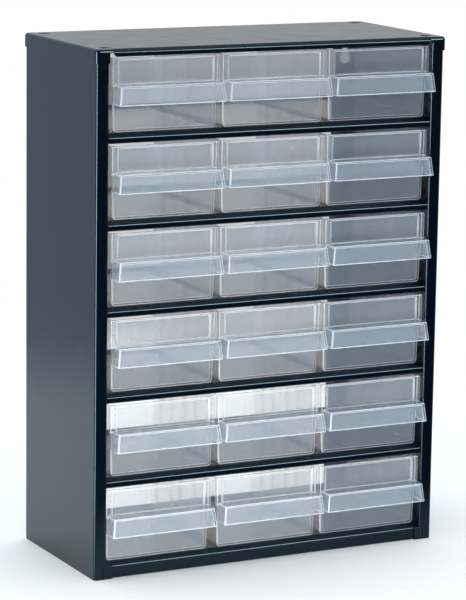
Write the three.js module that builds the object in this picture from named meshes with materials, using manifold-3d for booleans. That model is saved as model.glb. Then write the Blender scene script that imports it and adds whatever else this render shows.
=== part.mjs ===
// A small-parts cabinet: a bent-steel case, open at the back, that holds three columns of six clear drawers.
// Millimetres, +Z up. X runs across the front, +Y runs from the front to the back.
// The origin is the middle of the bottom of the whole cabinet, the drawers' pulls included.

import * as THREE from "three";
import { mergeVertices } from "three/addons/utils/BufferGeometryUtils.js";
import Module from "manifold-3d";

const wasm = await Module();
wasm.setup();

// Case
const WIDTH = 306; // across the top cap, the widest piece
const HEIGHT = 413;
const DEPTH = 148; // from the pulls to the back edge
const PULL_REACH = 9.5; // how far the pulls stand out in front of the case
const SHEET = 1; // thickness of the steel
const JOINT_GAP = 0.3; // air between two pieces that touch
const FRONT = -DEPTH / 2 + PULL_REACH;
const BACK = DEPTH / 2;

// Side panels, which stand inside the cap's skirt
const SIDE_OUTER = WIDTH / 2 - SHEET - JOINT_GAP;
const SIDE_INNER = SIDE_OUTER - SHEET;
const SIDE_FRONT = FRONT + SHEET + JOINT_GAP;
const SIDE_BACK = BACK - SHEET - JOINT_GAP;
const DOORWAY = 141.2; // half the clear width between the front flanges
const LIP_DEPTH = 5;
const BACK_FLANGE = 26;
const LIP_BEND = 2.2; // from the doorway to the flat of the flange
const TOE_WIDTH = 5.2; // how far the foot of the front flange reaches over the base
const TOE_LAP = 3.5;
const TOE_HEIGHT = 10.5;
const SIDE_BENDS = [1.3, 2, 1.3]; // back corner, front corner, lip

// Keyholes in the back flanges, for hanging the cabinet on two screws
const KEYHOLE_X = 137.3;
const KEYHOLE_Z = 383;
const KEYHOLE_RADIUS = 5;
const KEYHOLE_NECK = 2.6; // half the neck's width
const KEYHOLE_NECK_TOP = 9;

// Top cap
const SKIRT = 11;
const CAP_ROUND = 2.6;
const HEM_HALF = 138.4; // half the width of the front hem, between the cap's corners
const HEM_DROP = 6;
const NOTCH_DROP = 3.2; // from the cap's top to the notch at each end of the hem
const HEM_SLOPE_DROP = 2.4; // of the sloping part of the hem
const HEM_SLOPE_RUN = 3;
const HEM_SET_BACK = 0.2; // behind the cap's corners
const HEM_BENDS = [0.9, 0.9];
const HEM_SLANT = 2.3; // how much shorter each end of the hem is at the bottom
const DIMPLE_INSET_X = 12.5; // from the cap's edges to a stacking dimple's centre
const DIMPLE_INSET_Y = 12;
const DIMPLE_TOP = 4.6; // radius
const DIMPLE_FLOOR = 2.8; // radius
const DIMPLE_DEPTH = 1.4;
const DIMPLE_WALL = 0.8;

// Shelves and base
const ROWS = 6;
const ROW_PITCH = 67.1;
const FLOOR_TOP = 13.2; // top of the base, where the lowest drawers stand
const NOSE_DROP = 8;
const NOSE_SLOPE_DROP = 3.6; // of the sloping part of the nose
const NOSE_SLOPE_RUN = 3.4;
const NOSE_SET_BACK = 1.3; // behind the front of the side panels
const NOSE_RETURN = 3.6;
const BACK_LIP = 4;
const PLATE_BENDS = [1, 1, 1.2, 1]; // from under the nose to the back lip
const END_FLANGE = 7;
const FOOT_FLANGE = 12;

// Drawers
const COLUMNS = 3;
const COLUMN_PITCH = 93;
const MIDDLE_COLUMN = 0.7; // the drawers stand to the right in their side play
const LOOSE_SHIFT = -3.2; // the left drawer of the lowest row stands against the left flange
const DRAWER_SET_BACK = 3.5; // of a drawer's face behind the front of the case
const DRAWER_LENGTH = 124;
const DRAWER_HEIGHT = 56.6;
const DRAWER_LIFT = 0.3; // air under a drawer
const TOP_HALF = 44.6; // half the box's width at its top, and at its floor
const FLOOR_HALF = 43.4;
const WALL = 1.3;
const FLOOR_WALL = 1.5;
const EDGE_ROUND = 3; // along the bottom edges
const FRAME_HALF = 45.3; // the front frame round the label window
const FRAME_THICK = 3.3;
const FRAME_RIM = 5.4;
const FRAME_TOP_RIM = 1.5;
const WINDOW_RECESS = 1.3;
const LEDGE_TOP = 36.3; // top of the pull
const PULL_HEIGHT = 14.8;
const PULL_WALL = 1.4;
const PULL_LEAN = 1.5; // how much farther the apron stands out at its foot
const PULL_TOP_HALF = 43.2; // half the pull's width along the top of its apron,
const PULL_FOOT_HALF = 45; // along its foot,
const PULL_ROOT_HALF = 44.1; // and where it meets the drawer
const SLOT_PAIRS = [47.5, 90]; // divider slots, measured from the front
const SLOT_GAP = 2.4;
const RIB = 1.4;
const RIB_TOP = 50;
const STOP_FROM_BACK = 12; // stop nibs on the side walls, which catch behind the nose above
const STOP_LENGTH = 6;
const STOP_HEIGHT = 4.2;

const LAP = 0.5; // how far the shapes of one piece run into each other
const ARC_STEPS = 3;
const ROUND_STEPS = 16;

// --- Closed shapes ---------------------------------------------------------------------------

// The outline of a sheet of even thickness that follows a path of points. The radii are those of
// its bends, measured to the middle of the sheet.
function bentSheet(path, radii, thickness = SHEET) {
  const points = path.map(([a, b]) => new THREE.Vector2(a, b));
  const along = points.slice(1).map((p, i) => p.clone().sub(points[i]).normalize());
  const leftOf = (d) => new THREE.Vector2(-d.y, d.x);
  const line = [[points[0], leftOf(along[0])]];
  for (let i = 1; i < points.length - 1; i += 1) {
    const turn = Math.atan2(along[i - 1].cross(along[i]), along[i - 1].dot(along[i]));
    const side = Math.sign(turn);
    const radius = radii[i - 1];
    const setBack = radius * Math.tan(Math.abs(turn) / 2);
    const first = leftOf(along[i - 1]);
    const start = points[i].clone().addScaledVector(along[i - 1], -setBack);
    const centre = start.addScaledVector(first, side * radius);
    for (let k = 0; k <= ARC_STEPS; k += 1) {
      const normal = first.clone().rotateAround(new THREE.Vector2(), (turn * k) / ARC_STEPS);
      line.push([centre.clone().addScaledVector(normal, -side * radius), normal]);
    }
  }
  line.push([points.at(-1), leftOf(along.at(-1))]);
  const offset = (distance) => line.map(([p, n]) => p.clone().addScaledVector(n, distance));
  return [...offset(thickness / 2), ...offset(-thickness / 2).reverse()];
}

// An outline in the plane across an axis, extruded along that axis. The outline's two numbers
// are (x, y) for axis z, (x, z) for axis y and (y, z) for axis x.
function prism(outline, axis, from, to) {
  const shape = new THREE.Shape(outline.map((p) => (p.isVector2 ? p : new THREE.Vector2(...p))));
  const geometry = new THREE.ExtrudeGeometry(shape, { depth: to - from, bevelEnabled: false });
  const turns = {
    x: new THREE.Matrix4().set(0, 0, 1, from, 1, 0, 0, 0, 0, 1, 0, 0, 0, 0, 0, 1),
    y: new THREE.Matrix4().set(1, 0, 0, 0, 0, 0, -1, to, 0, 1, 0, 0, 0, 0, 0, 1),
    z: new THREE.Matrix4().makeTranslation(0, 0, from),
  };
  return solid(geometry.applyMatrix4(turns[axis]));
}

function block([x0, y0, z0], [x1, y1, z1]) {
  const geometry = new THREE.BoxGeometry(x1 - x0, y1 - y0, z1 - z0);
  return solid(geometry.translate((x0 + x1) / 2, (y0 + y1) / 2, (z0 + z1) / 2));
}

// A solid between two outlines with the same number of points, one above the other.
function frustum(low, high) {
  const count = low.length;
  const triangles = [];
  for (let i = 0; i < count; i += 1) {
    const next = (i + 1) % count;
    triangles.push([low[i], low[next], high[next]], [low[i], high[next], high[i]]);
  }
  for (let i = 1; i < count - 1; i += 1) {
    triangles.push([low[0], low[i + 1], low[i]], [high[0], high[i], high[i + 1]]);
  }
  const geometry = new THREE.BufferGeometry();
  geometry.setAttribute("position", new THREE.Float32BufferAttribute(triangles.flat(2), 3));
  return solid(geometry);
}

// Four corners at one height, for frustum(): wider or narrower at the front than at the back.
function corners(halfFront, halfBack, front, back, z) {
  return [
    [-halfFront, front, z],
    [halfFront, front, z],
    [halfBack, back, z],
    [-halfBack, back, z],
  ];
}

// A rounded rectangle at one height, for frustum().
function roundedRectangle(halfX, front, back, radius, z) {
  const ring = [];
  const places = [
    [halfX - radius, back - radius],
    [radius - halfX, back - radius],
    [radius - halfX, front + radius],
    [halfX - radius, front + radius],
  ];
  places.forEach(([x, y], corner) => {
    for (let k = 0; k <= ARC_STEPS; k += 1) {
      const angle = (Math.PI / 2) * (corner + k / ARC_STEPS);
      ring.push([x + radius * Math.cos(angle), y + radius * Math.sin(angle), z]);
    }
  });
  return ring;
}

// --- Joining and cutting ---------------------------------------------------------------------

function solid(geometry) {
  const bare = geometry.index ? geometry.toNonIndexed() : geometry.clone();
  bare.deleteAttribute("normal");
  bare.deleteAttribute("uv");
  const merged = mergeVertices(bare, 1e-4);
  const mesh = new wasm.Mesh({
    numProp: 3,
    vertProperties: merged.attributes.position.array,
    triVerts: new Uint32Array(merged.index.array),
  });
  return new wasm.Manifold(mesh);
}

function join(...solids) {
  return solids.reduce((all, one) => all.add(one));
}

function cut(whole, ...tools) {
  return tools.reduce((rest, tool) => rest.subtract(tool), whole);
}

function geometryOf(shape) {
  const mesh = shape.getMesh();
  const geometry = new THREE.BufferGeometry();
  geometry.setAttribute("position", new THREE.Float32BufferAttribute(mesh.vertProperties, 3));
  geometry.setIndex(new THREE.Uint32BufferAttribute(mesh.triVerts, 1));
  const faceted = geometry.toNonIndexed();
  faceted.computeVertexNormals();
  return faceted;
}

// --- Case ------------------------------------------------------------------------------------

// A side panel bent from one sheet: a back flange, the side, a front flange and a lip behind it.
function sidePanel(side) {
  const half = SHEET / 2;
  const x = side * (SIDE_OUTER - half);
  const path = [
    [side * (SIDE_OUTER - BACK_FLANGE), SIDE_BACK - half],
    [x, SIDE_BACK - half],
    [x, SIDE_FRONT + half],
    [side * (DOORWAY + half), SIDE_FRONT + half],
    [side * (DOORWAY + half), SIDE_FRONT + LIP_DEPTH],
  ];
  const panel = prism(bentSheet(path, SIDE_BENDS), "z", 0, HEIGHT - SHEET - JOINT_GAP);
  const span = (a, b) => [Math.min(side * a, side * b), Math.max(side * a, side * b)];
  const [lip0, lip1] = span(DOORWAY - 1, DOORWAY + LIP_BEND);
  const [toe0, toe1] = span(DOORWAY - TOE_WIDTH, DOORWAY + TOE_LAP);
  const lipEnd = block([lip0, SIDE_FRONT - 1, -1], [lip1, SIDE_FRONT + LIP_DEPTH + 1, TOE_HEIGHT]);
  const toe = block([toe0, SIDE_FRONT, 0], [toe1, SIDE_FRONT + SHEET, TOE_HEIGHT]);
  return cut(join(cut(panel, lipEnd), toe), keyhole(side * KEYHOLE_X));
}

// A round hole with a neck above it, cut through a back flange.
function keyhole(x) {
  const outline = [];
  const first = Math.asin(KEYHOLE_NECK / KEYHOLE_RADIUS);
  for (let k = 0; k <= ROUND_STEPS; k += 1) {
    const angle = Math.PI / 2 + first + ((2 * Math.PI - 2 * first) * k) / ROUND_STEPS;
    outline.push([x + KEYHOLE_RADIUS * Math.cos(angle), KEYHOLE_Z + KEYHOLE_RADIUS * Math.sin(angle)]);
  }
  outline.push([x + KEYHOLE_NECK, KEYHOLE_Z + KEYHOLE_NECK_TOP]);
  outline.push([x - KEYHOLE_NECK, KEYHOLE_Z + KEYHOLE_NECK_TOP]);
  return prism(outline, "y", SIDE_BACK - 2 * SHEET, SIDE_BACK + SHEET);
}

// The cap: a plate with a skirt down both sides and the back, turned in at the front corners,
// a front hem between those corners with a notch at each end, and four dimples that take the
// feet of a cabinet above.
function topCap() {
  const skirtFoot = HEIGHT - SKIRT;
  const half = WIDTH / 2;
  const ring = (inset, z) =>
    roundedRectangle(half - inset, FRONT + inset, BACK - inset, CAP_ROUND + SHEET - inset, z);
  const roundOver = (share) => {
    const angle = (Math.PI / 2) * share;
    return ring(CAP_ROUND * (1 - Math.cos(angle)), HEIGHT - CAP_ROUND * (1 - Math.sin(angle)));
  };
  const outer = [frustum(ring(0, skirtFoot), ring(0, HEIGHT - CAP_ROUND))];
  for (let k = 0; k < ARC_STEPS; k += 1) {
    outer.push(frustum(roundOver(k / ARC_STEPS), roundOver((k + 1) / ARC_STEPS)));
  }
  const inside = frustum(ring(SHEET, skirtFoot - 1), ring(SHEET, HEIGHT - SHEET));
  const hemFace = FRONT + HEM_SET_BACK + SHEET / 2;
  const opening = (halfX, top) =>
    block([-halfX, FRONT - 1, skirtFoot - 1], [halfX, hemFace + HEM_SLOPE_RUN, top]);
  const doorway = opening(DOORWAY, HEIGHT - NOTCH_DROP);
  const hemSpan = opening(HEM_HALF - LAP, HEIGHT + 1);
  const dimples = [-1, 1].flatMap((side) =>
    [FRONT + DIMPLE_INSET_Y, BACK - DIMPLE_INSET_Y].map((y) => [side * (half - DIMPLE_INSET_X), y]),
  );
  const floor = HEIGHT - DIMPLE_DEPTH;
  const bumps = dimples.map((at) => dimple(at, DIMPLE_WALL, floor - DIMPLE_WALL, HEIGHT - LAP));
  const hollows = dimples.map((at) => dimple(at, 0, floor, HEIGHT + 1));
  const shell = cut(join(...outer), inside, doorway, hemSpan);
  return cut(join(shell, capHem(hemFace), ...bumps), ...hollows);
}

// A cone set in the cap's plate, between two heights, grown all round by a margin.
function dimple([x, y], margin, low, high) {
  const slope = (DIMPLE_TOP - DIMPLE_FLOOR) / DIMPLE_DEPTH;
  const radius = (z) => DIMPLE_TOP + margin - slope * (HEIGHT - z);
  const cone = new THREE.CylinderGeometry(radius(high), radius(low), high - low, ROUND_STEPS);
  cone.rotateX(Math.PI / 2);
  return solid(cone.translate(x, y, (low + high) / 2));
}

// The front hem: it slopes down from the plate and turns upright, and its ends slant.
function capHem(face) {
  const top = HEIGHT - SHEET / 2;
  const path = [
    [face + HEM_SLOPE_RUN + 2, top],
    [face + HEM_SLOPE_RUN, top],
    [face, top - HEM_SLOPE_DROP],
    [face, HEIGHT - HEM_DROP],
  ];
  const hem = prism(bentSheet(path, HEM_BENDS), "x", -HEM_HALF, HEM_HALF);
  const foot = HEIGHT - HEM_DROP - 1;
  const slant = (HEM_SLANT * (HEM_DROP + 1 - NOTCH_DROP)) / (HEM_DROP - NOTCH_DROP);
  const ends = [-1, 1].map((side) => {
    const wedge = [
      [side * HEM_HALF, HEIGHT - NOTCH_DROP],
      [side * (HEM_HALF - slant), foot],
      [side * (HEM_HALF + 1), foot],
    ];
    return prism(wedge, "y", FRONT - 1, face + HEM_SLOPE_RUN);
  });
  return cut(hem, ...ends);
}

// The bent nose, plate and back lip that a shelf and the base share. The path starts at the
// free end under the nose, at the given depth below the plate.
function plateProfile(top, drop, returnDepth) {
  const half = SHEET / 2;
  const front = SIDE_FRONT + NOSE_SET_BACK + half;
  return [
    [front + returnDepth, top - drop + half],
    [front, top - drop + half],
    [front, top - NOSE_SLOPE_DROP],
    [front + NOSE_SLOPE_RUN, top - half],
    [SIDE_BACK - SHEET - JOINT_GAP - half, top - half],
    [SIDE_BACK - SHEET - JOINT_GAP - half, top + BACK_LIP],
  ];
}

// Takes away what would run into the lips of the side panels' front flanges.
function clearOfLips(plate, bottom, top) {
  const back = SIDE_FRONT + LIP_DEPTH + JOINT_GAP;
  const edge = DOORWAY - JOINT_GAP;
  const corner = (x0, x1) => block([x0, SIDE_FRONT - 1, bottom - 1], [x1, back, top + 1]);
  return cut(plate, corner(-WIDTH / 2, -edge), corner(edge, WIDTH / 2));
}

function shelf(top) {
  const half = SIDE_INNER - JOINT_GAP;
  const profile = plateProfile(top, NOSE_DROP, NOSE_RETURN);
  const plate = prism(bentSheet(profile, PLATE_BENDS), "x", -half, half);
  const y0 = SIDE_FRONT + LIP_DEPTH + JOINT_GAP;
  const y1 = SIDE_BACK - SHEET - JOINT_GAP;
  const flange = (x0, x1) => block([x0, y0, top - END_FLANGE], [x1, y1, top - SHEET / 2]);
  const ends = [flange(-half, SHEET - half), flange(half - SHEET, half)];
  return join(clearOfLips(plate, top - NOSE_DROP, top), ...ends);
}

function basePanel() {
  const half = SIDE_INNER - JOINT_GAP;
  const profile = plateProfile(FLOOR_TOP, FLOOR_TOP, FOOT_FLANGE);
  const plate = prism(bentSheet(profile, PLATE_BENDS), "x", -half, half);
  const y0 = SIDE_FRONT + LIP_DEPTH + JOINT_GAP;
  const y1 = SIDE_BACK - SHEET - JOINT_GAP;
  const wall = (x0, x1) => block([x0, y0, 0], [x1, y1, FLOOR_TOP - SHEET / 2]);
  const foot = (x0, x1) => block([x0, y0 + FOOT_FLANGE, 0], [x1, y1, SHEET]);
  const ends = [
    wall(-half, SHEET - half),
    wall(half - SHEET, half),
    foot(-half, FOOT_FLANGE - half),
    foot(half - FOOT_FLANGE, half),
  ];
  return join(clearOfLips(plate, 0, FLOOR_TOP), ...ends);
}

// --- Drawer ----------------------------------------------------------------------------------

// The outline of a drawer's box seen from the front: straight sides that lean out a little,
// and round bottom edges. An inset gives the inside.
function boxOutline(inset, floor, round, top) {
  const points = [[-(TOP_HALF - inset), top]];
  [-1, 1].forEach((side) => {
    const centre = side * (FLOOR_HALF - inset - round);
    for (let k = 0; k <= ARC_STEPS + 1; k += 1) {
      const share = k / (ARC_STEPS + 1);
      const angle = (Math.PI / 2) * (side < 0 ? 2 + share : 3 + share);
      points.push([centre + round * Math.cos(angle), floor + round + round * Math.sin(angle)]);
    }
  });
  points.push([TOP_HALF - inset, top]);
  return points;
}

// A clear moulded drawer. Its own origin is the middle of the bottom edge of its front frame.
function drawerBody() {
  const top = DRAWER_HEIGHT;
  const wallBack = FRAME_THICK + WALL;
  const box = cut(
    prism(boxOutline(0, 0, EDGE_ROUND, top), "y", FRAME_THICK, DRAWER_LENGTH),
    prism(
      boxOutline(WALL, FLOOR_WALL, EDGE_ROUND - WALL, top + 1),
      "y",
      wallBack,
      DRAWER_LENGTH - WALL,
    ),
  );
  const frame = block(
    [-FRAME_HALF, 0, LEDGE_TOP - PULL_WALL],
    [FRAME_HALF, FRAME_THICK + LAP, top],
  );
  const windowHalf = FRAME_HALF - FRAME_RIM;
  const front = block(
    [-windowHalf, -1, LEDGE_TOP],
    [windowHalf, WINDOW_RECESS, top - FRAME_TOP_RIM],
  );
  const behind = block(
    [-windowHalf, WINDOW_RECESS + WALL, LEDGE_TOP],
    [windowHalf, wallBack, top + 1],
  );
  const ribs = SLOT_PAIRS.flatMap(slotRibs);
  const stops = [-1, 1].map(stopNib);
  return cut(join(box, frame, pull(), ...ribs, ...stops), front, behind);
}

// The pull: a ledge, a leaning apron and two cheeks, open underneath for the fingers.
function pull() {
  const foot = LEDGE_TOP - PULL_HEIGHT;
  const section = (z, inset, back) => {
    const share = (LEDGE_TOP - z) / PULL_HEIGHT;
    const half = THREE.MathUtils.lerp(PULL_TOP_HALF, PULL_FOOT_HALF, share) - inset;
    const front = inset - PULL_REACH - DRAWER_SET_BACK + PULL_LEAN * (1 - share);
    return corners(half, PULL_ROOT_HALF - inset, front, back, z);
  };
  const back = FRAME_THICK + LAP;
  const shell = frustum(section(foot, 0, back), section(LEDGE_TOP, 0, back));
  const hollow = frustum(
    section(foot - 1, PULL_WALL, FRAME_THICK),
    section(LEDGE_TOP - PULL_WALL, PULL_WALL, FRAME_THICK),
  );
  return cut(shell, hollow);
}

// Two pairs of upright ribs, one pair on each side wall, that hold a divider between them.
function slotRibs(fromFront) {
  const places = [-1, 1].flatMap((side) =>
    [-1, 1].map((way) => [side, fromFront + (way * (SLOT_GAP + RIB)) / 2]),
  );
  return places.map(([side, y]) => {
    const wall = side * (FLOOR_HALF - WALL / 2);
    const edge = side * (FLOOR_HALF - WALL - RIB);
    const [x0, x1] = [Math.min(wall, edge), Math.max(wall, edge)];
    return block([x0, y - RIB / 2, EDGE_ROUND], [x1, y + RIB / 2, RIB_TOP]);
  });
}

// A nib on top of a side wall.
function stopNib(side) {
  const outer = side * TOP_HALF;
  const inner = side * (TOP_HALF - WALL);
  const back = DRAWER_LENGTH - STOP_FROM_BACK;
  const [x0, x1] = [Math.min(outer, inner), Math.max(outer, inner)];
  return block(
    [x0, back - STOP_LENGTH, DRAWER_HEIGHT - LAP],
    [x1, back, DRAWER_HEIGHT + STOP_HEIGHT],
  );
}

// --- Assembly --------------------------------------------------------------------------------

function steel() {
  return new THREE.MeshStandardMaterial({ color: 0x15283a, roughness: 0.32, metalness: 0.25 });
}

function clearPlastic() {
  return new THREE.MeshStandardMaterial({
    color: 0xdde2e4,
    roughness: 0.3,
    metalness: 0,
    transparent: true,
    opacity: 0.45,
  });
}

const cabinet = new THREE.Group();

function place(name, geometry, material, x = 0, y = 0, z = 0) {
  const mesh = new THREE.Mesh(geometry, material);
  mesh.name = name;
  mesh.position.set(x, y, z);
  cabinet.add(mesh);
}

place("side_panel_left", geometryOf(sidePanel(-1)), steel());
place("side_panel_right", geometryOf(sidePanel(1)), steel());
place("top_cap", geometryOf(topCap()), steel());
place("base_panel", geometryOf(basePanel()), steel());

// The top of the sheet that row 1, the highest, stands on is rowFloor(1).
const rowFloor = (row) => FLOOR_TOP + (ROWS - row) * ROW_PITCH;

for (let row = 1; row < ROWS; row += 1) {
  place(`shelf_${row}`, geometryOf(shelf(0)), steel(), 0, 0, rowFloor(row));
}

const drawerGeometry = geometryOf(drawerBody());
for (let row = 1; row <= ROWS; row += 1) {
  for (let column = 1; column <= COLUMNS; column += 1) {
    const loose = row === ROWS && column === 1 ? LOOSE_SHIFT : 0;
    const x = MIDDLE_COLUMN + (column - 2) * COLUMN_PITCH + loose;
    const z = rowFloor(row) + DRAWER_LIFT;
    const name = `drawer_r${row}c${column}`;
    place(name, drawerGeometry, clearPlastic(), x, FRONT + DRAWER_SET_BACK, z);
  }
}

export default cabinet;
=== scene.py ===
"""Looks of the parts organizer: painted bent steel and eighteen clear moulded drawers.

Metres, +Z up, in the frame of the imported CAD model. The object's lengths below are in
millimetres and are turned into metres where a mesh is made.
"""

import math

import bmesh
import bpy
from mathutils import Matrix, Vector


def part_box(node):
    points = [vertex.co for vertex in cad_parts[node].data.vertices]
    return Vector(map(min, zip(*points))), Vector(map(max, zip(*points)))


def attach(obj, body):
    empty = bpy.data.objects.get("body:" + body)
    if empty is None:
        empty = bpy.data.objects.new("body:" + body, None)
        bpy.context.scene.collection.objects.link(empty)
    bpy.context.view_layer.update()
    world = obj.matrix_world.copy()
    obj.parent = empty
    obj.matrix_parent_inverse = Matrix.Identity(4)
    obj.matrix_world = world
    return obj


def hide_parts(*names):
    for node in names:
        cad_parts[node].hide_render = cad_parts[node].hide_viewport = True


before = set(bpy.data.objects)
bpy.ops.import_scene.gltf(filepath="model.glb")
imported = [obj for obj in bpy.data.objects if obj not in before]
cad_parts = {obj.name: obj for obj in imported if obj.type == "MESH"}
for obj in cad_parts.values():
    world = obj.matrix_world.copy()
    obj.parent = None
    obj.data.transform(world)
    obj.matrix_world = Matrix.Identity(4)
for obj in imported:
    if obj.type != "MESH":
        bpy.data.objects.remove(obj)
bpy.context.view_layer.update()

MM = 0.001

# Steel
SHEET = 1.0
BEND_STEPS = 8
RIM_BEVEL = 0.22
DOORWAY = 141.2  # half the clear width between the front flanges
LIP_DEPTH = 5.0
PANEL_BENDS = (1.3, 2.0, 1.3)  # radii at the back corner, the front corner and the lip
TOE_WIDTH = 5.2
TOE_HEIGHT = 10.5
TOE_ROOT = 3.5  # from the doorway's edge outwards, where it laps the flange's foot by 1 mm
FOOT_CUT = 6.0  # length of sheet that is cut off the flange's foot, lip included
KEYHOLE_X = 137.3
KEYHOLE_Z = 383.0
KEYHOLE_RADIUS = 5.0
KEYHOLE_NECK = 2.6
KEYHOLE_NECK_TOP = 9.0
ROUND_STEPS = 32

# Top cap
CAP_ROUND = 2.6
CAP_CORNER = 3.6
HEM_HALF = 138.4
HEM_SLANT = 2.3
HEM_DROP = 6.0
NOTCH_DROP = 3.2  # from the cap's top to the notch at each end of the hem
HEM_SET_BACK = 0.2
HEM_SLOPE_DROP = 2.4
HEM_SLOPE_RUN = 3.0
HEM_BEND = 1.4
PLATE_SET_BACK = 4.4  # where the flat of the plate starts, behind the cap's front
DIMPLE_INSET = (12.5, 12.0)
# Radius and depth, from a dimple's rim to its flat middle.
DIMPLE_PROFILE = ((5.2, 0.0), (4.8, 0.05), (4.4, 0.28), (3.8, 0.8), (3.3, 1.22), (2.8, 1.4))

# Shelves and base
NOSE_SLOPE_DROP = 3.6
NOSE_SLOPE_RUN = 3.4
NOSE_RETURN = 3.6
BACK_LIP = 4.0
SHELF_BENDS = (1.0, 1.2, 1.6, 1.0)  # radii, from the foot of the nose to the back lip
END_FLANGE = 7.0
END_FRONT_GAP = 0.5
END_BACK_GAP = 1.5
FOOT_FLANGE = 12.0
FOOT_BEND = 1.2
GAP = 0.3
LIP_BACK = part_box("side_panel_left")[0].y / MM + LIP_DEPTH  # where the side panels' lips end

# Drawers
DRAWER_LENGTH = 124.0
DRAWER_HEIGHT = 56.6
TOP_HALF = 44.6
FLOOR_HALF = 43.4
WALL = 1.3
FLOOR_WALL = 1.5
EDGE_ROUND = 3.0
FRAME_HALF = 45.3
FRAME_THICK = 3.3
FRAME_RIM = 5.4
FRAME_TOP_RIM = 1.5
WINDOW_RECESS = 1.3
LEDGE_TOP = 36.3
PULL_HEIGHT = 14.8
PULL_WALL = 1.4
PULL_TIP = 13.0  # how far the foot of the apron stands in front of the frame
PULL_LEAN = 1.5
PULL_TOP_HALF = 43.2
PULL_FOOT_HALF = 45.0
PULL_ROOT_HALF = 44.1
FRONT_BACK = FRAME_THICK + WALL  # where a drawer's thick front ends
SLOT_PAIRS = (47.5, 90.0)
SLOT_GAP = 2.4
RIB = 1.4
RIB_TOP = 50.0
STOP_FROM_BACK = 12.0
STOP_LENGTH = 6.0
STOP_HEIGHT = 4.2
LAP = 0.5  # how far joined shapes reach into each other
PAST = 1.0  # how far a cutting shape reaches past what it cuts
PLASTIC_BEVEL = 0.55

# Paint
PAINT_DARK = (0.0002, 0.0014, 0.0038, 1)
PAINT_PALE = (0.0003, 0.0018, 0.0048, 1)
PAINT_GLINT = (0.6, 0.88, 1.0, 1)
PAINT_IOR = 1.5

# Plastic
PLASTIC_IOR = 1.45
FROST_IOR = 1.25
FROST_ROUGHNESS = 0.7
FROST_SHARE = 0.3  # of the scattered light, the part that goes on forwards
HAZE_COLOUR = (0.74, 0.88, 1.0, 1)
# The rounded edges of the drawers are whiter than the rest: a painted highlight along them.
EDGE_HIGHLIGHT_COLOUR = (0.96, 0.98, 1.0, 1)
CLEAR_TINT = (1.0, 0.98, 0.965, 1)
# The share of light scattered: least and most, then what the thick front and the pull add.
WALL_HAZE = (0.045, 0.06, 0.06, 0.04)
# On the rounded edges much more light is scattered, which paints a bright highlight along them.
EDGE_HIGHLIGHT_HAZE = (0.1, 0.14, 0.5, 0.2)

# Studio, in metres
FLOOR_MIDDLE = (-0.05, 0.34, 0)
FLOOR_SOLID = 0.38
FLOOR_RADIUS = 0.62
FLOOR_COLOUR = (0.6, 0.55, 0.5, 1)
# Strength low down and higher up, and the heights of the view's direction where they lie.
BACKDROP = (0.32, 0.22, -0.2, -0.12)
BACKDROP_DEPTH = 3  # clear faces that a ray has passed when it sees the grey backdrop alone
# A ray's direction decides what it meets. These are the spans of x, y and z of that direction
# in which the room changes from left to right, from front to back, and from level to overhead.
LEFT_TO_RIGHT = (-0.3, 0.3)
FRONT_TO_BACK = (-0.5, 0.2)
LEVEL_TO_OVERHEAD = (0.25, 0.7)
# Colour on the left and on the right, then strength in front, behind and, added, overhead.
LIT_BY = ((0.69, 0.85, 1.0, 1), (0.69, 0.85, 1.0, 1), 0.7, 2.1, 0.9)
MIRRORED = ((0.85, 1.01, 1.24, 1), (0.92, 0.96, 0.98, 1), 0.02, 0.6, 0.05)

# Camera, in metres, degrees and, for the lens, millimetres
CAMERA_PLACE = (-1.0397, -2.0138, 0.6379)
CAMERA_AZIMUTH = -27.27
CAMERA_ELEVATION = 10.95
CAMERA_ROLL = 0.85
CAMERA_LENS = 172.0


# --- Meshes ----------------------------------------------------------------------------------


def new_object(name, bm):
    """Turns a bmesh in millimetres into an object in metres."""
    bmesh.ops.recalc_face_normals(bm, faces=bm.faces)
    bmesh.ops.scale(bm, vec=(MM, MM, MM), verts=bm.verts)
    mesh = bpy.data.meshes.new(name)
    bm.to_mesh(mesh)
    bm.free()
    mesh.polygons.foreach_set("use_smooth", [True] * len(mesh.polygons))
    obj = bpy.data.objects.new(name, mesh)
    bpy.context.scene.collection.objects.link(obj)
    return obj


def add_bevel(obj, width, segments=2, angle=40.0, material=-1):
    """Rounds the sharp edges and keeps flat faces shaded flat."""
    bevel = obj.modifiers.new("soft edges", "BEVEL")
    bevel.width = width * MM
    bevel.segments = segments
    bevel.limit_method = "ANGLE"
    bevel.angle_limit = math.radians(angle)
    bevel.use_clamp_overlap = False
    bevel.miter_outer = "MITER_ARC"
    bevel.material = material
    normals = obj.modifiers.new("flat faces", "WEIGHTED_NORMAL")
    normals.weight = 100


class Fold:
    """A path of straight runs and round bends, for a sheet bent from flat."""

    def __init__(self, path, radii, steps=BEND_STEPS):
        points = [Vector(p) for p in path]
        self.runs = []  # (length so far, start, direction, turn, radius)
        self.breaks = []
        position = points[0]
        length = 0.0
        for i in range(1, len(points)):
            along = (points[i] - points[i - 1]).normalized()
            is_last = i == len(points) - 1
            turn = 0.0
            radius = 0.0
            if not is_last:
                ahead = (points[i + 1] - points[i]).normalized()
                turn = math.atan2(along.x * ahead.y - along.y * ahead.x, along.dot(ahead))
                radius = radii[i - 1]
            set_back = radius * math.tan(abs(turn) / 2)
            stop = points[i] - along * set_back
            self.runs.append((length, position, along, 0.0, 0.0))
            length += (stop - position).length
            if not is_last:
                self.runs.append((length, stop, along, turn, radius))
                arc = radius * abs(turn)
                self.breaks += [length + arc * k / steps for k in range(steps + 1)]
                length += arc
                position = points[i] + ahead * set_back
        self.length = length

    def at(self, s):
        """The point at a length along the path, and the normal to the left of it."""
        run = max((r for r in self.runs if r[0] <= s + 1e-9), key=lambda r: r[0])
        start, place, along, turn, radius = run
        left = Vector((-along.y, along.x))
        if not radius:
            return place + along * (s - start), left
        side = math.copysign(1.0, turn)
        centre = place + left * side * radius
        normal = left.copy()
        normal.rotate(Matrix.Rotation(side * (s - start) / radius, 2))
        return centre - normal * side * radius, normal


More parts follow.
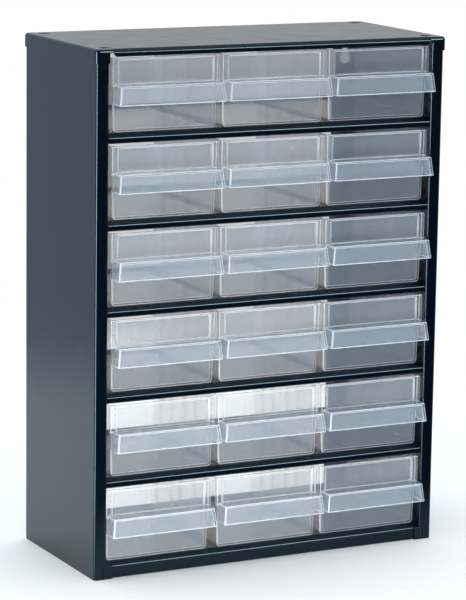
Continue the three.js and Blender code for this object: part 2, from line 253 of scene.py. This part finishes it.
def sheet_into(bm, fold, outline, place, holes=()):
    """Bends a flat pattern of sheet along a fold and adds it, with its thickness, to a bmesh.

    The outline's points are (length along the fold, width). place(point, width) turns a point of
    the fold's plane and a width into a point in space.
    """
    flat = bmesh.new()
    for loop in (outline, *holes):
        verts = [flat.verts.new((s, w, 0)) for s, w in loop]
        for a, b in zip(verts, verts[1:] + verts[:1]):
            flat.edges.new((a, b))
    bmesh.ops.triangle_fill(flat, edges=flat.edges[:], use_beauty=True)
    bmesh.ops.dissolve_limit(flat, angle_limit=0.01, verts=flat.verts[:], edges=flat.edges[:])
    for s in fold.breaks:
        everything = flat.verts[:] + flat.edges[:] + flat.faces[:]
        bmesh.ops.bisect_plane(flat, geom=everything, plane_co=(s, 0, 0), plane_no=(1, 0, 0))
    sides = []
    for offset in (SHEET / 2, -SHEET / 2):
        made = {}
        for vert in flat.verts:
            point, normal = fold.at(vert.co.x)
            made[vert] = bm.verts.new(place(point + normal * offset, vert.co.y))
        sides.append(made)
    for face in flat.faces:
        corners = list(face.verts)
        bm.faces.new([sides[0][v] for v in corners])
        bm.faces.new([sides[1][v] for v in reversed(corners)])
    for edge in flat.edges:
        if len(edge.link_faces) == 1:
            a, b = edge.verts
            bm.faces.new((sides[0][a], sides[0][b], sides[1][b], sides[1][a]))
    flat.free()


def strip(fold, w0, w1):
    """A flat pattern as long as the fold, between two widths."""
    return [(0, w0), (fold.length, w0), (fold.length, w1), (0, w1)]


# --- Steel -----------------------------------------------------------------------------------


def keyhole(flange_edge):
    """The keyhole's outline, as lengths from the back flange's free edge and heights."""
    first = math.asin(KEYHOLE_NECK / KEYHOLE_RADIUS)
    centre = KEYHOLE_X - flange_edge
    outline = []
    for k in range(ROUND_STEPS + 1):
        angle = math.pi / 2 + first + (math.tau - 2 * first) * k / ROUND_STEPS
        across = centre + KEYHOLE_RADIUS * math.cos(angle)
        outline.append((across, KEYHOLE_Z + KEYHOLE_RADIUS * math.sin(angle)))
    outline.append((centre + KEYHOLE_NECK, KEYHOLE_Z + KEYHOLE_NECK_TOP))
    outline.append((centre - KEYHOLE_NECK, KEYHOLE_Z + KEYHOLE_NECK_TOP))
    return outline


def side_panel(side, box):
    """One sheet bent into back flange, side, front flange and lip. side is -1 on the left."""
    low, high = (v / MM for v in box)
    outer = max(abs(low.x), abs(high.x))
    flange_edge = min(abs(low.x), abs(high.x))
    half = SHEET / 2
    front = low.y + half
    lip = DOORWAY + half
    path = [
        (flange_edge, high.y - half),
        (outer - half, high.y - half),
        (outer - half, front),
        (lip, front),
        (lip, low.y + LIP_DEPTH),
    ]
    fold = Fold(path, PANEL_BENDS)
    toe_end = fold.length - FOOT_CUT
    outline = [
        (0, high.z),
        (0, 0),
        (toe_end, 0),
        (toe_end, TOE_HEIGHT),
        (fold.length, TOE_HEIGHT),
        (fold.length, high.z),
    ]
    bm = bmesh.new()
    sheet_into(bm, fold, outline, lambda p, w: (side * p.x, p.y, w), [keyhole(flange_edge)])
    toe = Fold([(0, front), (1, front)], ())
    toe_root = DOORWAY + TOE_ROOT
    foot = [
        (DOORWAY - TOE_WIDTH, 0),
        (toe_root, 0),
        (toe_root, TOE_HEIGHT),
        (DOORWAY - TOE_WIDTH, TOE_HEIGHT),
    ]
    sheet_into(bm, toe, foot, lambda p, w: (side * p.x, p.y, w))
    return new_object(f"steel_side_{'left' if side < 0 else 'right'}", bm)


def cap_ring(low, high, inset, z):
    """An open ring round the cap from the left end of its hem to the right end."""
    radius = max(CAP_CORNER - inset, 0.0)
    x = high.x - max(inset, CAP_CORNER)
    y0 = low.y + max(inset, CAP_CORNER)
    y1 = high.y - max(inset, CAP_CORNER)
    ring = [(-HEM_HALF, low.y + inset, z), (-DOORWAY, low.y + inset, z)]
    for corner, (cx, cy) in enumerate(((-x, y0), (-x, y1), (x, y1), (x, y0))):
        for k in range(BEND_STEPS + 1):
            angle = math.radians(270 - 90 * (corner + k / BEND_STEPS))
            ring.append((cx + radius * math.cos(angle), cy + radius * math.sin(angle), z))
    return ring + [(DOORWAY, low.y + inset, z), (HEM_HALF, low.y + inset, z)]


def top_cap(box):
    """A tray with a rounded rim all round, a front hem and four dimples, thickened to sheet."""
    low, high = (v / MM for v in box)
    notch = high.z - NOTCH_DROP
    levels = [(0.0, low.z), (0.0, notch), (0.0, high.z - CAP_ROUND)]
    for k in range(1, BEND_STEPS + 1):
        angle = math.pi / 2 * k / BEND_STEPS
        inset = CAP_ROUND * (1 - math.cos(angle))
        levels.append((inset, high.z - CAP_ROUND * (1 - math.sin(angle))))
    levels.append((PLATE_SET_BACK, high.z))
    bm = bmesh.new()
    rings = [[bm.verts.new(p) for p in cap_ring(low, high, *level)] for level in levels]
    for lower, upper, (_, z) in zip(rings, rings[1:], levels):
        skipped = 1 if z < notch else 0  # the notches, at both ends of the ring
        for i in range(skipped, len(lower) - 1 - skipped):
            bm.faces.new((lower[i], lower[i + 1], upper[i + 1], upper[i]))
    bmesh.ops.delete(bm, geom=[v for v in bm.verts if not v.link_faces], context="VERTS")
    bmesh.ops.remove_doubles(bm, verts=rings[-1], dist=0.01)
    loop = [v for v in rings[-1] if v.is_valid]
    cap_hem(bm, low, high, (loop[0], loop[-1]))
    border = []
    for a, b in zip(loop, loop[1:] + loop[:1]):
        border.append(bm.edges.get((a, b)) or bm.edges.new((a, b)))
    for side in (-1, 1):
        for y in (low.y + DIMPLE_INSET[1], high.y - DIMPLE_INSET[1]):
            border += dimple(bm, side * (high.x - DIMPLE_INSET[0]), y, high.z)
    bmesh.ops.triangle_fill(bm, edges=border, use_beauty=True)
    cap = new_object("steel_cap", bm)
    thick = cap.modifiers.new("sheet", "SOLIDIFY")
    thick.thickness = SHEET * MM
    thick.offset = -1
    thick.use_even_offset = True
    return cap


def cap_hem(bm, low, high, plate_corners):
    """The sloped front hem, from the two corners where it leaves the plate."""
    face = low.y + HEM_SET_BACK
    path = [
        (low.y + PLATE_SET_BACK, high.z),
        (face + HEM_SLOPE_RUN, high.z),
        (face, high.z - HEM_SLOPE_DROP),
        (face, high.z - HEM_DROP),
    ]
    fold = Fold(path, (HEM_BEND, HEM_BEND))
    rows = [plate_corners]
    below = HEM_DROP - NOTCH_DROP
    for s in sorted([*fold.breaks, fold.length - below, fold.length]):
        point, _ = fold.at(s)
        past_notch = max(high.z - NOTCH_DROP - point.y, 0.0)
        half = HEM_HALF - HEM_SLANT * past_notch / below
        rows.append([bm.verts.new((x, point.x, point.y)) for x in (-half, half)])
    for upper, lower in zip(rows, rows[1:]):
        bm.faces.new((upper[0], upper[1], lower[1], lower[0]))


def dimple(bm, x, y, z):
    """A shallow round dish. Returns the edges of its rim."""
    turns = [math.tau * k / ROUND_STEPS for k in range(ROUND_STEPS)]
    rings = []
    for radius, depth in DIMPLE_PROFILE:
        points = [(x + radius * math.cos(a), y + radius * math.sin(a), z - depth) for a in turns]
        rings.append([bm.verts.new(point) for point in points])
    for outer, inner in zip(rings, rings[1:]):
        for i in range(ROUND_STEPS):
            j = (i + 1) % ROUND_STEPS
            bm.faces.new((outer[i], outer[j], inner[j], inner[i]))
    bm.faces.new(rings[-1])
    rim = rings[0]
    return [bm.edges.get((rim[i], rim[(i + 1) % ROUND_STEPS])) for i in range(ROUND_STEPS)]


def shelf_profile(low, high, return_depth):
    """The fold of a shelf or of the base, from the foot of its nose to the top of its back lip."""
    half = SHEET / 2
    top = high.z - BACK_LIP
    front = low.y + half
    path = [
        (front + return_depth, low.z + half),
        (front, low.z + half),
        (front, top - NOSE_SLOPE_DROP),
        (front + NOSE_SLOPE_RUN, top - half),
        (high.y - half, top - half),
        (high.y - half, high.z),
    ]
    return Fold(path, SHELF_BENDS)


def notched(fold, half, lip_back, front):
    """A shelf's flat pattern: full width behind the side panels' lips, narrower before them."""
    narrow = DOORWAY - GAP
    steps = 4000
    lengths = [k * fold.length / steps for k in range(steps + 1)]
    behind = [s for s in lengths if fold.at(s)[0].x > lip_back and fold.at(s)[0].y > front]
    start = min(behind)
    return [
        (0, -narrow),
        (start, -narrow),
        (start, -half),
        (fold.length, -half),
        (fold.length, half),
        (start, half),
        (start, narrow),
        (0, narrow),
    ]


def shelf(name, box, is_base=False):
    """A plate with its nose and back lip, and a flange down each end."""
    low, high = (v / MM for v in box)
    fold = shelf_profile(low, high, FOOT_FLANGE if is_base else NOSE_RETURN)
    lip_back = LIP_BACK + GAP
    top = high.z - BACK_LIP
    bm = bmesh.new()
    sheet_into(bm, fold, notched(fold, high.x, lip_back, top - SHEET), lambda p, w: (w, p.x, p.y))
    foot = low.z if is_base else top - END_FLANGE
    for side in (-1, 1):
        wall = side * (high.x - SHEET / 2)
        path = [(wall, foot + SHEET / 2), (wall, top - SHEET)]
        radii = ()
        if is_base:
            path.insert(0, (wall - side * FOOT_FLANGE, foot + SHEET / 2))
            radii = (FOOT_BEND,)
        end = Fold(path, radii)
        flat = strip(end, lip_back + END_FRONT_GAP, high.y - END_BACK_GAP)
        sheet_into(bm, end, flat, lambda p, w: (p.x, w, p.y))
    return new_object(name, bm)


# --- Drawer ----------------------------------------------------------------------------------


def closed_loft(rings):
    """A closed solid through a list of rings with the same number of points."""
    bm = bmesh.new()
    made = [[bm.verts.new(p) for p in ring] for ring in rings]
    count = len(made[0])
    for a, b in zip(made, made[1:]):
        for i in range(count):
            j = (i + 1) % count
            bm.faces.new((a[i], a[j], b[j], b[i]))
    bm.faces.new(made[0][::-1])
    bm.faces.new(made[-1])
    bmesh.ops.recalc_face_normals(bm, faces=bm.faces)
    return bm


def tub_ring(inset, floor, radius, top, y):
    """A section of the drawer's box, which tapers down to two round floor corners."""
    steps = 10
    ring = [(-(TOP_HALF - inset), y, top)]
    for side in (-1, 1):
        centre = side * (FLOOR_HALF - inset - radius)
        for k in range(steps + 1):
            turn = math.pi / 2 * k / steps + (math.pi if side < 0 else 1.5 * math.pi)
            across = centre + radius * math.cos(turn)
            ring.append((across, y, floor + radius + radius * math.sin(turn)))
    ring.append((TOP_HALF - inset, y, top))
    return ring


def slab(x0, x1, y0, y1, z0, z1):
    """A plain block between two limits each way."""

    def ring(z):
        return [(x0, y0, z), (x1, y0, z), (x1, y1, z), (x0, y1, z)]

    return closed_loft([ring(z0), ring(z1)])


def pull_ring(z, inset, back):
    """A section of the pull, which widens and leans forwards towards its foot."""
    share = (LEDGE_TOP - z) / PULL_HEIGHT
    half = PULL_TOP_HALF + (PULL_FOOT_HALF - PULL_TOP_HALF) * share - inset
    root = PULL_ROOT_HALF - inset
    front = inset - PULL_TIP + PULL_LEAN * (1 - share)
    return [(-half, front, z), (half, front, z), (root, back, z), (-root, back, z)]


def tub():
    """The box before it is hollowed out."""
    ends = (FRAME_THICK, DRAWER_LENGTH)
    return closed_loft([tub_ring(0, 0, EDGE_ROUND, DRAWER_HEIGHT, y) for y in ends])


def tub_hollow():
    radius = EDGE_ROUND - WALL
    ends = (FRONT_BACK, DRAWER_LENGTH - WALL)
    return closed_loft([tub_ring(WALL, FLOOR_WALL, radius, DRAWER_HEIGHT + PAST, y) for y in ends])


def front_frame():
    back = FRAME_THICK + LAP
    return slab(-FRAME_HALF, FRAME_HALF, 0, back, LEDGE_TOP - PULL_WALL, DRAWER_HEIGHT)


def pull():
    """The pull, before it is hollowed out from underneath."""
    back = FRAME_THICK + LAP
    return closed_loft([pull_ring(z, 0, back) for z in (LEDGE_TOP - PULL_HEIGHT, LEDGE_TOP)])


def pull_hollow():
    levels = (LEDGE_TOP - PULL_HEIGHT - PAST, LEDGE_TOP - PULL_WALL)
    return closed_loft([pull_ring(z, PULL_WALL, FRAME_THICK) for z in levels])


def window_cuts():
    """The recess in front of the window and the one behind it, which leave a wall between them."""
    half = FRAME_HALF - FRAME_RIM
    recess_top = DRAWER_HEIGHT - FRAME_TOP_RIM
    return [
        slab(-half, half, -PAST, WINDOW_RECESS, LEDGE_TOP, recess_top),
        slab(-half, half, WINDOW_RECESS + WALL, FRONT_BACK, LEDGE_TOP, DRAWER_HEIGHT + PAST),
    ]


def divider_ribs():
    """Pairs of upright ribs inside both walls, each pair with a slot for a divider between them."""
    ribs = []
    for place in SLOT_PAIRS:
        for side in (-1, 1):
            for way in (-1, 1):
                y = place + way * (SLOT_GAP + RIB) / 2
                x = sorted((side * (FLOOR_HALF - WALL / 2), side * (FLOOR_HALF - WALL - RIB)))
                ribs.append(slab(*x, y - RIB / 2, y + RIB / 2, FLOOR_WALL / 2, RIB_TOP))
    return ribs


def stop_nibs():
    """The tabs on top of both walls that catch behind the nose above."""
    end = DRAWER_LENGTH - STOP_FROM_BACK
    top = DRAWER_HEIGHT
    nibs = []
    for side in (-1, 1):
        x = sorted((side * TOP_HALF, side * (TOP_HALF - WALL)))
        nibs.append(slab(*x, end - STOP_LENGTH, end, top - LAP, top + STOP_HEIGHT))
    return nibs


def boolean_chain(start, steps):
    """Joins and cuts solids one after another and returns the resulting mesh."""
    base = new_object("drawer_shape", start)
    tools = []
    for operation, bm in steps:
        tool = new_object("tool", bm)
        tools.append(tool)
        modifier = base.modifiers.new(operation, "BOOLEAN")
        modifier.operation = operation
        modifier.object = tool
        modifier.solver = "EXACT"
    graph = bpy.context.evaluated_depsgraph_get()
    mesh = bpy.data.meshes.new_from_object(base.evaluated_get(graph))
    for obj in (base, *tools):
        bpy.data.objects.remove(obj)
    return mesh


def drawer_mesh():
    """The whole moulding: the box, everything that stands on it, and then its last hollows."""
    added = [front_frame(), pull(), *divider_ribs(), *stop_nibs()]
    steps = [("DIFFERENCE", tub_hollow())]
    steps += [("UNION", shape) for shape in added]
    steps += [("DIFFERENCE", shape) for shape in (pull_hollow(), *window_cuts())]
    mesh = boolean_chain(tub(), steps)
    bm = bmesh.new()
    bm.from_mesh(mesh)
    bmesh.ops.remove_doubles(bm, verts=bm.verts[:], dist=1e-6)
    bmesh.ops.dissolve_limit(bm, angle_limit=0.005, verts=bm.verts[:], edges=bm.edges[:])
    bm.to_mesh(mesh)
    bm.free()
    mesh.polygons.foreach_set("use_smooth", [True] * len(mesh.polygons))
    mesh.name = "drawer_moulding"
    return mesh


# --- Materials -------------------------------------------------------------------------------


def node_material(name):
    """A new material with an empty node tree and its output node."""
    material = bpy.data.materials.new(name)
    material.use_nodes = True
    tree = material.node_tree
    tree.nodes.clear()
    output = tree.nodes.new("ShaderNodeOutputMaterial")
    return material, tree, output


def noise(tree, scale, detail=2.0, stretch=None):
    """Cloudy noise in the object's own metres. stretch scales each axis on its own."""
    place = tree.nodes.new("ShaderNodeTexCoord")
    texture = tree.nodes.new("ShaderNodeTexNoise")
    texture.inputs["Scale"].default_value = scale
    texture.inputs["Detail"].default_value = detail
    texture.inputs["Roughness"].default_value = 0.5
    where = place.outputs["Object"]
    if stretch:
        mapping = tree.nodes.new("ShaderNodeMapping")
        mapping.inputs["Scale"].default_value = stretch
        tree.links.new(where, mapping.inputs["Vector"])
        where = mapping.outputs["Vector"]
    tree.links.new(where, texture.inputs["Vector"])
    return texture.outputs["Fac"]


def remap(tree, value, low, high, start=0.3, end=0.7):
    """Turns the span from start to end into the one from low to high, and holds it there."""
    spread = tree.nodes.new("ShaderNodeMapRange")
    spread.inputs["From Min"].default_value = start
    spread.inputs["From Max"].default_value = end
    spread.inputs["To Min"].default_value = low
    spread.inputs["To Max"].default_value = high
    tree.links.new(value, spread.inputs["Value"])
    return spread.outputs["Result"]


def mix_colours(tree, factor, first, second):
    mix = tree.nodes.new("ShaderNodeMix")
    mix.data_type = "RGBA"
    mix.inputs["A"].default_value = first
    mix.inputs["B"].default_value = second
    tree.links.new(factor, mix.inputs["Factor"])
    return mix.outputs["Result"]


def mix_shaders(tree, factor, first, second):
    """Two shaders mixed by a fixed share or by another node's output."""
    mix = tree.nodes.new("ShaderNodeMixShader")
    if isinstance(factor, float):
        mix.inputs["Fac"].default_value = factor
    else:
        tree.links.new(factor, mix.inputs["Fac"])
    tree.links.new(first, mix.inputs[1])
    tree.links.new(second, mix.inputs[2])
    return mix.outputs["Shader"]


def add_values(tree, first, second):
    total = tree.nodes.new("ShaderNodeMath")
    total.operation = "ADD"
    tree.links.new(first, total.inputs[0])
    tree.links.new(second, total.inputs[1])
    return total.outputs["Value"]


def bump(tree, height, strength, distance):
    node = tree.nodes.new("ShaderNodeBump")
    node.inputs["Strength"].default_value = strength
    node.inputs["Distance"].default_value = distance
    tree.links.new(height, node.inputs["Height"])
    return node.outputs["Normal"]


def coordinate(tree, space, axis):
    place = tree.nodes.new("ShaderNodeTexCoord")
    split = tree.nodes.new("ShaderNodeSeparateXYZ")
    tree.links.new(place.outputs[space], split.inputs["Vector"])
    return split.outputs[axis]


def painted_steel():
    """Smooth glossy powder coat with a little orange peel."""
    material, tree, output = node_material("powder_coated_steel")
    shader = tree.nodes.new("ShaderNodeBsdfPrincipled")
    shader.inputs["IOR"].default_value = PAINT_IOR
    shader.inputs["Specular Tint"].default_value = PAINT_GLINT
    colour = mix_colours(tree, noise(tree, 9.0), PAINT_DARK, PAINT_PALE)
    tree.links.new(colour, shader.inputs["Base Color"])
    tree.links.new(remap(tree, noise(tree, 60.0, detail=4.0), 0.14, 0.2), shader.inputs["Roughness"])
    orange_peel = bump(tree, noise(tree, 700.0), strength=0.12, distance=0.0002)
    tree.links.new(orange_peel, shader.inputs["Normal"])
    tree.links.new(shader.outputs["BSDF"], output.inputs["Surface"])
    return material


def milky_scatter(tree, colour):
    """Scattered light: some goes back or through at random, some goes on forwards, frosted."""
    front = tree.nodes.new("ShaderNodeBsdfDiffuse")
    front.inputs["Color"].default_value = colour
    back = tree.nodes.new("ShaderNodeBsdfTranslucent")
    back.inputs["Color"].default_value = colour
    frosted = tree.nodes.new("ShaderNodeBsdfRefraction")
    frosted.inputs["Color"].default_value = colour
    frosted.inputs["IOR"].default_value = FROST_IOR
    frosted.inputs["Roughness"].default_value = FROST_ROUGHNESS
    matt = mix_shaders(tree, 0.5, front.outputs["BSDF"], back.outputs["BSDF"])
    return mix_shaders(tree, FROST_SHARE, matt, frosted.outputs["BSDF"])


def scattered_share(tree, least, most, more_in_front, more_in_pull):
    """Cloudy, and more in a drawer's thick front and in its pull than in the walls of its box."""
    cloud = remap(tree, noise(tree, 1.0, stretch=(26.0, 26.0, 5.0)), least, most)
    depth = coordinate(tree, "Object", "Y")
    in_front = remap(tree, depth, more_in_front, 0.0, FRONT_BACK * MM, (FRONT_BACK + 1) * MM)
    in_pull = remap(tree, depth, more_in_pull, 0.0, -MM, 0.0)
    return add_values(tree, add_values(tree, cloud, in_front), in_pull)


def plastic_shine(tree):
    """How much light the surface mirrors, and the shader that mirrors it."""
    gloss = tree.nodes.new("ShaderNodeBsdfGlossy")
    tree.links.new(remap(tree, noise(tree, 45.0), 0.08, 0.16), gloss.inputs["Roughness"])
    flow = noise(tree, 1.0, detail=1.0, stretch=(40.0, 40.0, 9.0))
    tree.links.new(bump(tree, flow, strength=0.15, distance=0.0001), gloss.inputs["Normal"])
    fresnel = tree.nodes.new("ShaderNodeFresnel")
    face = tree.nodes.new("ShaderNodeNewGeometry")
    # The inverse index on a back face keeps rays that were never bent from total reflection.
    index = remap(tree, face.outputs["Backfacing"], PLASTIC_IOR, 1 / PLASTIC_IOR, 0, 1)
    tree.links.new(index, fresnel.inputs["IOR"])
    return fresnel.outputs["Fac"], gloss.outputs["BSDF"]


def clear_plastic(name, scatter_colour, haze):
    """Milky clear plastic: part of the light goes straight through, part is scattered."""
    material, tree, output = node_material(name)
    through = tree.nodes.new("ShaderNodeBsdfTransparent")
    through.inputs["Color"].default_value = CLEAR_TINT
    share = scattered_share(tree, *haze)
    body = mix_shaders(tree, share, through.outputs["BSDF"], milky_scatter(tree, scatter_colour))
    mirrored_share, gloss = plastic_shine(tree)
    whole = mix_shaders(tree, mirrored_share, body, gloss)
    tree.links.new(whole, output.inputs["Surface"])
    return material


def studio_floor():
    """A pale sheet whose rim melts into the white backdrop."""
    material, tree, output = node_material("studio_floor")
    shader = tree.nodes.new("ShaderNodeBsdfPrincipled")
    shader.inputs["Base Color"].default_value = FLOOR_COLOUR
    tree.links.new(remap(tree, noise(tree, 5.0), 0.75, 0.85), shader.inputs["Roughness"])
    place = tree.nodes.new("ShaderNodeTexCoord")
    distance = tree.nodes.new("ShaderNodeVectorMath")
    distance.operation = "LENGTH"
    tree.links.new(place.outputs["Object"], distance.inputs[0])
    nothing = tree.nodes.new("ShaderNodeBsdfTransparent")
    fade = remap(tree, distance.outputs["Value"], 0.0, 1.0, FLOOR_SOLID, FLOOR_RADIUS)
    sheet = mix_shaders(tree, fade, shader.outputs["BSDF"], nothing.outputs["BSDF"])
    tree.links.new(sheet, output.inputs["Surface"])
    return material


# --- Assembly --------------------------------------------------------------------------------


def finish_steel(obj, node, steel):
    add_bevel(obj, RIM_BEVEL)
    obj.data.materials.append(steel)
    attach(obj, "cabinet")
    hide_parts(node)


def assemble_case():
    steel = painted_steel()
    finish_steel(side_panel(-1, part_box("side_panel_left")), "side_panel_left", steel)
    finish_steel(side_panel(1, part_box("side_panel_right")), "side_panel_right", steel)
    finish_steel(top_cap(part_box("top_cap")), "top_cap", steel)
    finish_steel(shelf("steel_base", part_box("base_panel"), is_base=True), "base_panel", steel)
    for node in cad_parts:
        if node.startswith("shelf_"):
            finish_steel(shelf(f"steel_{node}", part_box(node)), node, steel)


def assemble_drawers():
    """One moulding, placed once for each drawer, with a whiter, hazier plastic on its rounded edges
    that paints a bright highlight along them.
    """
    moulding = drawer_mesh()
    moulding.materials.append(clear_plastic("milky_plastic", HAZE_COLOUR, WALL_HAZE))
    # The second material is whiter and hazier, a painted highlight for the bevelled edges.
    moulding.materials.append(clear_plastic("milky_plastic_edge_highlight", EDGE_HIGHLIGHT_COLOUR, EDGE_HIGHLIGHT_HAZE))
    for node in sorted(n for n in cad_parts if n.startswith("drawer_")):
        low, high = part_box(node)
        drawer = bpy.data.objects.new(f"clear_{node}", moulding)
        bpy.context.scene.collection.objects.link(drawer)
        drawer.location = ((low.x + high.x) / 2, low.y + PULL_TIP * MM, low.z)
        # The bevels get the second material, the painted edge highlight.
        add_bevel(drawer, PLASTIC_BEVEL, segments=2, angle=35.0, material=1)
        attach(drawer, node)
        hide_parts(node)


# --- Studio ----------------------------------------------------------------------------------


def area_light(name, place, target, size, power):
    """A soft box that the camera can't see."""
    lamp = bpy.data.lights.new(name, "AREA")
    lamp.shape = "RECTANGLE"
    lamp.size, lamp.size_y = size
    lamp.energy = power
    obj = bpy.data.objects.new(name, lamp)
    obj.location = place
    obj.rotation_euler = (Vector(target) - Vector(place)).to_track_quat("-Z", "Y").to_euler()
    obj.visible_camera = False
    bpy.context.scene.collection.objects.link(obj)
    return obj


def surroundings(tree, on_left, on_right, in_front, behind, overhead):
    """A background with two colours, as bright as given in front, behind and, added, overhead."""
    shader = tree.nodes.new("ShaderNodeBackground")
    rightness = remap(tree, coordinate(tree, "Generated", "X"), 0, 1, *LEFT_TO_RIGHT)
    colour = mix_colours(tree, rightness, on_left, on_right)
    tree.links.new(colour, shader.inputs["Color"])
    level = remap(tree, coordinate(tree, "Generated", "Y"), in_front, behind, *FRONT_TO_BACK)
    above = remap(tree, coordinate(tree, "Generated", "Z"), 0.0, overhead, *LEVEL_TO_OVERHEAD)
    tree.links.new(add_values(tree, level, above), shader.inputs["Strength"])
    return shader.outputs["Background"]


def backdrop(tree, faces_passed):
    """White where the camera looks straight at it, grey where it looks through the drawers."""
    shader = tree.nodes.new("ShaderNodeBackground")
    shader.inputs["Color"].default_value = (1, 1, 1, 1)
    strength = tree.nodes.new("ShaderNodeMapRange")
    strength.inputs["From Min"].default_value = 1
    strength.inputs["From Max"].default_value = BACKDROP_DEPTH
    strength.inputs["To Min"].default_value = 1.0
    through = remap(tree, coordinate(tree, "Generated", "Z"), *BACKDROP)
    tree.links.new(through, strength.inputs["To Max"])
    tree.links.new(faces_passed, strength.inputs["Value"])
    tree.links.new(strength.outputs["Result"], shader.inputs["Strength"])
    return shader.outputs["Background"]


def studio_world():
    """The room, as matt surfaces, shiny ones and the camera each see it."""
    world = bpy.data.worlds.new("studio")
    world.use_nodes = True
    tree = world.node_tree
    tree.nodes.clear()
    output = tree.nodes.new("ShaderNodeOutputWorld")
    ray = tree.nodes.new("ShaderNodeLightPath")
    lit = surroundings(tree, *LIT_BY)
    mirrored = surroundings(tree, *MIRRORED)
    seen = backdrop(tree, ray.outputs["Transparent Depth"])
    lit_or_mirrored = mix_shaders(tree, ray.outputs["Is Glossy Ray"], lit, mirrored)
    room = mix_shaders(tree, ray.outputs["Is Camera Ray"], lit_or_mirrored, seen)
    tree.links.new(room, output.inputs["Surface"])
    bpy.context.scene.world = world


def soft_boxes():
    """One lamp for the floor, two that only draw highlights along edges, and one low in front."""
    area_light("light_top_back", (-0.1, 0.6, 1.3), target=(0, 0.3, 0), size=(1.2, 1.2), power=5)
    middle = (0, 0, 0.2)
    left = area_light("light_edge_left", (-1.45, -0.45, 0.25), middle, size=(0.5, 1.3), power=30)
    front = area_light("light_edge_front", (0.9, -1.65, 1.05), middle, size=(0.7, 0.7), power=29)
    for lamp in (left, front):
        lamp.visible_diffuse = False
        lamp.visible_transmission = False
    foot = (0, -0.06, 0.06)
    low = area_light("light_low_front", (-0.15, -0.55, 0.02), foot, size=(0.7, 0.2), power=7)
    low.visible_glossy = False


def floor_disc():
    bm = bmesh.new()
    bmesh.ops.create_circle(bm, cap_ends=True, segments=96, radius=FLOOR_RADIUS / MM)
    floor = new_object("floor", bm)
    floor.location = FLOOR_MIDDLE
    floor.data.materials.append(studio_floor())


def camera():
    """A long lens at the photo's angle, rolled a little."""
    azimuth = math.radians(CAMERA_AZIMUTH)
    elevation = math.radians(CAMERA_ELEVATION)
    roll = math.radians(CAMERA_ROLL)
    back = Vector(
        (
            math.sin(azimuth) * math.cos(elevation),
            -math.cos(azimuth) * math.cos(elevation),
            math.sin(elevation),
        )
    )
    level = Vector((math.cos(azimuth), math.sin(azimuth), 0))
    upright = back.cross(level)
    right = level * math.cos(roll) + upright * math.sin(roll)
    up = back.cross(right)
    data = bpy.data.cameras.new("camera")
    data.lens = CAMERA_LENS
    obj = bpy.data.objects.new("camera", data)
    turn = Matrix((right, up, back)).transposed().to_4x4()
    obj.matrix_world = Matrix.Translation(CAMERA_PLACE) @ turn
    bpy.context.scene.collection.objects.link(obj)
    bpy.context.scene.camera = obj


assemble_case()
assemble_drawers()
studio_world()
floor_disc()
soft_boxes()
camera()
bpy.context.scene.view_settings.view_transform = "Standard"
bpy.context.scene.cycles.transparent_max_bounces = 40
